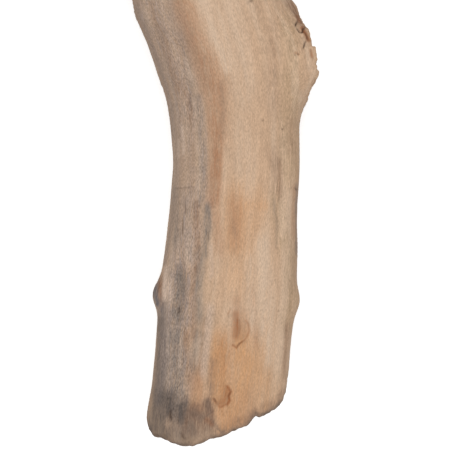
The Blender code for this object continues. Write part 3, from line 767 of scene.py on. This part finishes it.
def on_an_edge(points, facing):
    """Whether a face lies by a thin stroke, on the torn face's rim or on the butt's edge."""
    near_thin = np.zeros(len(points), bool)
    for _, width, line in strokes["dark"] + strokes["rust"]:
        if width < THIN_STROKE:
            near_thin |= to_stroke(points, line, 1.0)[0] < width + THIN_ROOM
    at_tear = np.abs(past_tear(points)) < EDGE_ROOM
    at_tear &= (points[:, 0] > TEAR_FROM_X) & (points[:, 1] < TEAR_TO_Y)
    at_butt = (np.abs(past_butt(points) + BUTT_EDGE_INSIDE) < EDGE_ROOM) & (points[:, 2] > EDGE_ABOVE)
    return seen_closely(points, facing) & (near_thin | at_tear | at_butt)


skin = whole_mesh(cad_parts["branch"], SKIN_FACE)
for most in CARVE_STEPS[:2]:
    carve(skin, most)
split_faces(skin, seen_closely)
carve(skin, CARVE_STEPS[2])
split_faces(skin, on_an_edge)
carve(skin, CARVE_STEPS[2])
points = read_points(skin, "co")
normals = read_points(skin, "normal")


# The grain: each limb's own run of fibres, as places across, above and along its heart. Limbs that
# fork from one another take turns between two sets, A and B, so that their grains blend at the fork.
GRAIN_SETS = (
    [stem, limbs[1], limbs[3], limbs[5], limbs[8], limbs[10], limbs[11]],
    [limbs[0], limbs[2], limbs[4], limbs[6], limbs[7], limbs[9], limbs[12], limbs[13]],
)
GRAIN_BLEND = 8.0


def grain_of(points, grown):
    """The grain's own coordinates at each point, from the nearest limb of a set, and its distance."""
    best = np.full(len(points), 2 * NOWHERE_NEAR)
    coordinates = np.zeros((len(points), 3))
    for number, limb in enumerate(grown):
        distance = limb_distance(limb, points)[0]
        nearer = np.flatnonzero(distance < best)
        across, up, beyond, sample = in_grain(limb, points[nearer])
        start = number * NOWHERE_NEAR
        coordinates[nearer] = np.column_stack([across, up, limb.arc[sample] + beyond + start])
        best[nearer] = distance[nearer]
    return coordinates, best


def along_grain(size, shift=0.0):
    """Noise that is drawn out along the grain of both sets, blended where limbs fork."""
    first = ragged(grain_a, size, shift)
    second = ragged(grain_b, size, shift)
    return first + grain_mix * (second - first)


grain_a, distance_a = grain_of(points, GRAIN_SETS[0])
grain_b, distance_b = grain_of(points, GRAIN_SETS[1])
lean = np.clip((distance_a - distance_b) / GRAIN_BLEND * 0.5 + 0.5, 0, 1)
grain_mix = lean * lean * (3 - 2 * lean)

# The blasted skin: sand ate the soft wood between the fibres, opened pits and splits, and left the
# harder rays as ripples. The butt's end face crumbled, and the torn face is all splinters.
UPPER_STEEPNESS = 2.0
UPPER_START = 0.4
UPPER_FADE = 12.0
BUTT_SHARE_INSIDE = 0.5
BUTT_SHARE_FADE = 1.6
STUB_FROM_X = 14.0
STUB_FADE = 4.0
STUB_MIDDLE_Y = 121.0
STUB_REACH = 14.0
TEAR_SHARE_INSIDE = 0.1
TEAR_SHARE_FADE = 1.1
upper = np.clip(normals[:, 2] * UPPER_STEEPNESS + UPPER_START, 0, 1)
upper *= np.clip((CLOSE_Y - points[:, 1]) / UPPER_FADE, 0, 1)
wander = STROKE_WANDER * np.column_stack(
    [
        ragged(points, STROKE_GRAIN),
        WANDER_ALONG * ragged(points, STROKE_GRAIN, 7.3),
        np.zeros(len(points)),
    ]
)
tones = {}
for tone in strokes:
    tones[tone] = upper * stroke_share(points + WANDER_SHARE[tone] * wander, tone)
tones["soil"] *= 1.0 + SOIL_UNEVEN * ragged(points, SOIL_BLOTCH, 6.2)
butt_share = np.clip(1.0 + (past_butt(points) + BUTT_SHARE_INSIDE) / BUTT_SHARE_FADE, 0, 1)
on_stub = np.clip((points[:, 0] - STUB_FROM_X) / STUB_FADE, 0, 1)
on_stub *= np.abs(points[:, 1] - STUB_MIDDLE_Y) < STUB_REACH
tear_share = on_stub * np.clip(1.0 + (past_tear(points) + TEAR_SHARE_INSIDE) / TEAR_SHARE_FADE, 0, 1)
ridges = along_grain(RIDGE)
furrows = along_grain(FURROW, 11.7)
ripples = along_grain(RIPPLE, 23.1) * np.clip(0.5 + furrows, 0, 1)
pits = np.clip(ragged(points, PIT_SIZE, 3.9) - PIT_FROM, 0, None) / (1 - PIT_FROM)
height = RIDGE_HEIGHT * ridges + FURROW_HEIGHT * furrows + RIPPLE_HEIGHT * ripples
height -= PIT_DEPTH * pits + SPLIT_DEPTH * tones["dark"]
height += CRUMB_HEIGHT * butt_share * ragged(points, CRUMB, 5.1)
height += tear_share * SPLINTER_DEPTH * ragged(points, SPLINTER, 8.8)
pebbly = np.exp(-(((points[:, :2] - PEBBLES_AT) / PEBBLES_REACH) ** 2).sum(axis=1))
pebbles = ragged(points, PEBBLE, 4.4) * pebbly * upper
height += PEBBLE_HEIGHT * pebbles
points += normals * height[:, None]
low, high = (np.array(corner) / MM + (*ORIGIN, 0.0) for corner in cad_box)
points = points.clip(low, high)
skin.vertices.foreach_set("co", ((points - (*ORIGIN, 0.0)) * MM).ravel())
skin.update()
skin.shade_smooth()

# What the finish reads at each point of the skin: the grain, the tones, the hollows between the
# fibres, the broken ends and the knots' hearts.
OWN_ROOM = 2.0
END_FADE = 1.2
HEART_SHARE = 0.6
HEART_RUST = 0.7
broken = butt_share
for limb in [stem, *limbs]:
    distance, past_end = limb_distance(limb, points)
    on_limb = np.clip(OWN_ROOM - distance, 0, 1)
    broken = np.maximum(broken, on_limb * np.clip(1.0 + past_end / END_FADE, 0, 1))
knot_heart = np.zeros(len(points))
for centre, _, length, girth in knots:
    gap = (points - centre) / (HEART_SHARE * girth)
    knot_heart = np.maximum(knot_heart, np.exp(-(gap**2).sum(axis=1)))
tones["rust"] = np.maximum(tones["rust"], HEART_RUST * knot_heart)
readings = {
    **tones,
    "broken": broken,
    "torn": tear_share,
    "hollow": np.clip(0.5 - 0.5 * height / (RIDGE_HEIGHT + FURROW_HEIGHT), 0, 1),
    "close": upper,
    "pebbles": pebbles,
    "grain_mix": grain_mix,
}
for name, values in readings.items():
    skin.attributes.new(name, "FLOAT", "POINT").data.foreach_set("value", values)
for name, values in (("grain_a", grain_a), ("grain_b", grain_b)):
    skin.attributes.new(name, "FLOAT_VECTOR", "POINT").data.foreach_set("vector", values.ravel())

branch = bpy.data.objects.new("branch_wood", skin)
bpy.context.scene.collection.objects.link(branch)


# The finish: dry, matt wood. Its tan ground carries paler and warmer streaks, grey weathering, raw
# red-brown hearts in knots and scars, and a fine tick of fibres that the sand left, with painted highlights
# on ridges and painted shade along edges, in hollows and in splits. Lengths in it are millimetres too.
TAN = (0.565, 0.375, 0.243)
PALE = (0.64, 0.455, 0.315)
TONES = {
    "honey": (0.578, 0.29, 0.122),
    "straw": (0.445, 0.305, 0.174),
    "warm": (0.41, 0.22, 0.125),
    # pale wood and painted highlight
    "cream_and_highlight": (0.658, 0.479, 0.342),
    "ash": (0.318, 0.246, 0.21),
    "brown": (0.29, 0.17, 0.108),
    "grey": (0.216, 0.175, 0.145),
    # grey weathering and painted edge shade
    "slate_and_edge_shade": (0.183, 0.157, 0.153),
    "soil": (0.118, 0.092, 0.078),
    # bleached fibres and painted highlight
    "bleached_and_highlight": (0.62, 0.465, 0.36),
}
RUST = (0.29, 0.105, 0.038)
DARK = (0.06, 0.032, 0.02)
# end grain, darkened further as painted shade
SHADED_END_WOOD = (0.2, 0.135, 0.1)
TORN_WOOD = (0.53, 0.335, 0.2)
END_SHARE = 0.85
TORN_SHARE = 0.6
PITH_SHARE = 0.7
PITH = 1.3
RING_PITCH = 2.1
RING_DEPTH = 0.2
RING_UNEVEN = 2.0
CHECK_EDGE = (0.012, 0.004)
CHECKED_WHERE = (0.5, 0.6)
FRAY_STREAKS = 1.3
FRAY_THREADS = 2.6
FRAY_LESS = {"honey": 0.5, "soil": 0.35, "slate_and_edge_shade": 0.6, "bleached_and_highlight": 0.6}
BITE = 0.75
BITE_IN_ASH = 1.3
BITE_IN_STRAW = 0.6
CREST_LIGHT = 1.08
HOLLOW_SHADE = 0.16
PEBBLE_LIGHT = 0.14
TICK_THREADS = 0.8
TICK_DEPTH = 0.12
TICK_STRENGTH = 0.5


def place(tree, kind, sockets=(), **settings):
    """A new node with its settings, and its inputs given as values or as other nodes' outputs."""
    node = tree.nodes.new(kind)
    for name, value in settings.items():
        setattr(node, name, value)
    for socket, value in dict(sockets).items():
        if isinstance(value, bpy.types.NodeSocket):
            tree.links.new(value, node.inputs[socket])
        else:
            node.inputs[socket].default_value = value
    return node


def reckon(tree, operation, *values, clamp=False):
    """The output of a Math node on values or on other nodes' outputs."""
    node = place(tree, "ShaderNodeMath", enumerate(values), operation=operation, use_clamp=clamp)
    return node.outputs[0]


def reading(tree, name, output="Fac"):
    """What the skin holds under a name."""
    return place(tree, "ShaderNodeAttribute", attribute_name=name).outputs[output]


def make_grain_group():
    """A node group: noise as wide and as long as the fibres are to be, along each limb's grain."""
    group = bpy.data.node_groups.new("grain_noise", "ShaderNodeTree")
    for name, start in (("Width", 1.0), ("Length", 10.0), ("Detail", 2.0), ("Shift", 0.0)):
        socket = group.interface.new_socket(name, in_out="INPUT", socket_type="NodeSocketFloat")
        socket.default_value = start
    group.interface.new_socket("Value", in_out="OUTPUT", socket_type="NodeSocketFloat")
    given = group.nodes.new("NodeGroupInput").outputs
    size = place(
        group, "ShaderNodeCombineXYZ", {"X": given["Width"], "Y": given["Width"], "Z": given["Length"]}
    )
    found = []
    for name in ("grain_a", "grain_b"):
        scaled = place(
            group,
            "ShaderNodeVectorMath",
            {0: reading(group, name, "Vector"), 1: size.outputs[0]},
            operation="DIVIDE",
        )
        shifted = place(
            group,
            "ShaderNodeVectorMath",
            {0: scaled.outputs[0], 1: given["Shift"]},
            operation="ADD",
        )
        texture = place(
            group,
            "ShaderNodeTexNoise",
            {"Vector": shifted.outputs[0], "Scale": 1.0, "Detail": given["Detail"]},
        )
        found.append(texture.outputs[0])
    blended = place(
        group, "ShaderNodeMix", {0: reading(group, "grain_mix"), 2: found[0], 3: found[1]}
    )
    result = group.nodes.new("NodeGroupOutput")
    group.links.new(blended.outputs[0], result.inputs["Value"])
    return group


def grain(tree, group, width, length, detail, shift):
    """Noise along the grain, from 0 to 1."""
    sockets = {"Width": width, "Length": length, "Detail": detail, "Shift": shift}
    node = tree.nodes.new("ShaderNodeGroup")
    node.node_tree = group
    for name, value in sockets.items():
        node.inputs[name].default_value = value
    return node.outputs["Value"]


def ramp(tree, value, low, high):
    """A smooth rise from 0 to 1 as a value goes from low to high."""
    node = place(
        tree,
        "ShaderNodeMapRange",
        {"Value": value, "From Min": low, "From Max": high},
        interpolation_type="SMOOTHSTEP",
    )
    return node.outputs[0]


def tinted(tree, share, ground, tone):
    """One colour laid over another by a share from 0 to 1."""
    tone = (*tone, 1.0) if isinstance(tone, tuple) else tone
    ground = (*ground, 1.0) if isinstance(ground, tuple) else ground
    node = place(tree, "ShaderNodeMix", data_type="RGBA", sockets={0: share, 6: ground, 7: tone})
    return node.outputs[2]


def from_heart(tree, name):
    """How far each place lies from the heart of its limb, by one of the two sets of grain."""
    across = place(
        tree,
        "ShaderNodeVectorMath",
        {0: reading(tree, name, "Vector"), 1: (1.0, 1.0, 0.0)},
        operation="MULTIPLY",
    )
    return place(tree, "ShaderNodeVectorMath", {0: across.outputs[0]}, operation="LENGTH").outputs["Value"]


wood = bpy.data.materials.new("sandblasted_manzanita")
wood.use_nodes = True
tree = wood.node_tree
surface = tree.nodes["Principled BSDF"]
group = make_grain_group()
# Each noise has a width, a length, a detail and a shift to a stretch of its own.
broad = grain(tree, group, 9.0, 70.0, 2.0, 1.3)
bands = grain(tree, group, 3.2, 45.0, 3.0, 17.1)
streaks = grain(tree, group, 1.5, 14.0, 2.0, 29.9)
threads = grain(tree, group, 0.5, 4.2, 2.0, 71.9)
fibres = grain(tree, group, 0.3, 0.85, 1.0, 41.7)
checks = grain(tree, group, 2.4, 34.0, 2.0, 53.3)
away = reckon(tree, "SUBTRACT", 1.0, reading(tree, "close"))

colour = tinted(tree, ramp(tree, bands, 0.35, 0.68), TAN, PALE)
# The tones fray into streaks along the grain, and every other tone takes the gaps of the one before.
# Where the photo doesn't show the wood, three of them lie in patches, each with its most strength.
elsewhere = {
    "warm": (ramp(tree, broad, 0.54, 0.3), 0.75),
    "ash": (ramp(tree, broad, 0.4, 0.7), 0.8),
    "grey": (ramp(tree, bands, 0.56, 0.78), 0.5),
}
for number, (tone, tint) in enumerate(TONES.items()):
    share = reading(tree, tone)
    if tone in elsewhere:
        found, most = elsewhere[tone]
        found = reckon(tree, "MULTIPLY", found, reckon(tree, "MULTIPLY", away, most))
        share = reckon(tree, "MAXIMUM", share, found)
    turn = (1, -1)[number % 2] * FRAY_LESS.get(tone, 1)
    middle = 1 - 0.5 * turn * (FRAY_STREAKS + FRAY_THREADS)
    fray = reckon(tree, "MULTIPLY_ADD", streaks, turn * FRAY_STREAKS, middle)
    fray = reckon(tree, "MULTIPLY_ADD", threads, turn * FRAY_THREADS, fray)
    colour = tinted(tree, reckon(tree, "MULTIPLY", share, fray, clamp=True), colour, tint)
# The broken ends take dark end grain, darkened further as painted shade where the butt's end face turns
# down from the light.
colour = tinted(tree, reckon(tree, "MULTIPLY", reading(tree, "broken"), END_SHARE), colour, SHADED_END_WOOD)
colour = tinted(tree, reckon(tree, "MULTIPLY", reading(tree, "torn"), TORN_SHARE), colour, TORN_WOOD)

# The broken ends show their growth rings, a little uneven, round a dark pith.
radius = place(
    tree,
    "ShaderNodeMix",
    {0: reading(tree, "grain_mix"), 2: from_heart(tree, "grain_a"), 3: from_heart(tree, "grain_b")},
).outputs[0]
uneven = reckon(tree, "MULTIPLY_ADD", broad, RING_UNEVEN * RING_PITCH, radius)
ring = reckon(tree, "SINE", reckon(tree, "MULTIPLY", uneven, 2 * math.pi / RING_PITCH))
ring = reckon(tree, "MULTIPLY", ring, reading(tree, "broken"))
pith = reckon(tree, "MULTIPLY", ramp(tree, radius, PITH, 0.5 * PITH), reading(tree, "broken"))
colour = tinted(tree, reckon(tree, "MULTIPLY", pith, PITH_SHARE), colour, DARK)

# Rust-red stains fray with the fibres. Thin dark checks follow the grain of the wood that the photo
# doesn't show, because the splits that it shows were marked as strokes. Checks and splits are painted
# dark, partly as the shade inside them.
stained = reckon(tree, "MULTIPLY", reading(tree, "rust"), reckon(tree, "ADD", fibres, threads), clamp=True)
colour = tinted(tree, stained, colour, RUST)
line = reckon(tree, "ABSOLUTE", reckon(tree, "SUBTRACT", checks, 0.5))
split = reckon(tree, "MULTIPLY", ramp(tree, line, *CHECK_EDGE), ramp(tree, broad, *CHECKED_WHERE))
split = reckon(tree, "MULTIPLY", split, away)
colour = tinted(tree, reckon(tree, "MAXIMUM", reading(tree, "dark"), split), colour, DARK)

# The sand bit deeper into grey wood, so its fibres stand out more than those of sound wood.
bite = reckon(tree, "MULTIPLY_ADD", reading(tree, "ash"), BITE_IN_ASH, BITE)
bite = reckon(tree, "MULTIPLY_ADD", reading(tree, "straw"), BITE_IN_STRAW, bite)
# Painted shade darkens the hollows between the fibres, and a little painted light lifts the crests.
light = reckon(tree, "MULTIPLY_ADD", reading(tree, "hollow"), -HOLLOW_SHADE, CREST_LIGHT)
for noise_value, strength in ((fibres, 0.95), (threads, 0.4), (streaks, 0.14)):
    swing = reckon(tree, "MULTIPLY", reckon(tree, "SUBTRACT", noise_value, 0.5), strength)
    change = reckon(tree, "MULTIPLY_ADD", swing, bite, 1.0)
    light = reckon(tree, "MULTIPLY", light, change)
# Painted light on the pebbles' tops and painted shade in the dips between them.
light = reckon(tree, "MULTIPLY_ADD", reading(tree, "pebbles"), PEBBLE_LIGHT, light)
light = reckon(tree, "MULTIPLY_ADD", ring, RING_DEPTH, light)
lit = place(tree, "ShaderNodeVectorMath", {0: colour, "Scale": light}, operation="SCALE")
tree.links.new(lit.outputs[0], surface.inputs["Base Color"])

tick = reckon(tree, "ADD", fibres, reckon(tree, "MULTIPLY", threads, TICK_THREADS))
tick = reckon(tree, "SUBTRACT", tick, split)
relief = {"Height": tick, "Strength": TICK_STRENGTH, "Distance": TICK_DEPTH * MM}
bump = place(tree, "ShaderNodeBump", relief)
tree.links.new(bump.outputs[0], surface.inputs["Normal"])
surface.inputs["Roughness"].default_value = 0.86
surface.inputs["Specular IOR Level"].default_value = 0.3
skin.materials.append(wood)
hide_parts("branch")
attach(branch, "root")


# The floor and the light: a plain white sweep under one large soft light, with pale light all round.
# The lengths here are metres in the frame. The camera sees the floor brighter than the wood does.
FLOOR_SIZE = 24.0
LIGHT_PLACE = (0.0, -0.08, 1.5)
LIGHT_SIZE = 1.1
LIGHT_WATTS = 9.5
SKY_STRENGTH = 0.6
FLOOR_WHITE = 0.93
FLOOR_BOUNCE = 0.6
FLOOR_GLOW = 0.45
bpy.ops.mesh.primitive_plane_add(size=FLOOR_SIZE)
floor = bpy.context.object
floor.name = "floor"
floor_paint = bpy.data.materials.new("floor_paint")
floor_paint.use_nodes = True
floor_surface = floor_paint.node_tree.nodes["Principled BSDF"]
straight = place(floor_paint.node_tree, "ShaderNodeLightPath").outputs["Is Camera Ray"]
tint = tinted(floor_paint.node_tree, straight, (FLOOR_BOUNCE,) * 3, (FLOOR_WHITE,) * 3)
floor_paint.node_tree.links.new(tint, floor_surface.inputs["Base Color"])
floor_surface.inputs["Emission Color"].default_value = (1.0, 1.0, 1.0, 1.0)
glow = reckon(floor_paint.node_tree, "MULTIPLY", straight, FLOOR_GLOW)
floor_paint.node_tree.links.new(glow, floor_surface.inputs["Emission Strength"])
floor_surface.inputs["Roughness"].default_value = 0.95
floor_surface.inputs["Specular IOR Level"].default_value = 0.1
floor.data.materials.append(floor_paint)

soft_box = bpy.data.lights.new("soft_box", "AREA")
soft_box.size = LIGHT_SIZE
soft_box.energy = LIGHT_WATTS
lamp = bpy.data.objects.new("soft_box", soft_box)
bpy.context.scene.collection.objects.link(lamp)
lamp.location = LIGHT_PLACE
lamp.visible_camera = False
sky = bpy.data.worlds.new("pale_room")
sky.use_nodes = True
sky.node_tree.nodes["Background"].inputs["Color"].default_value = (1.0, 1.0, 1.0, 1.0)
sky.node_tree.nodes["Background"].inputs["Strength"].default_value = SKY_STRENGTH
bpy.context.scene.world = sky
bpy.context.scene.view_settings.view_transform = "Standard"

# The camera looks straight down on the butt half of the stem, with +Y up in the picture.
CAMERA_LENS = 95.2
camera = bpy.data.objects.new("camera", bpy.data.cameras.new("camera"))
camera.data.lens = CAMERA_LENS
camera.location = (np.array(VIEWER) - (*ORIGIN, 0.0)) * MM
camera.data.clip_start = 0.01
bpy.context.scene.collection.objects.link(camera)
bpy.context.scene.camera = camera
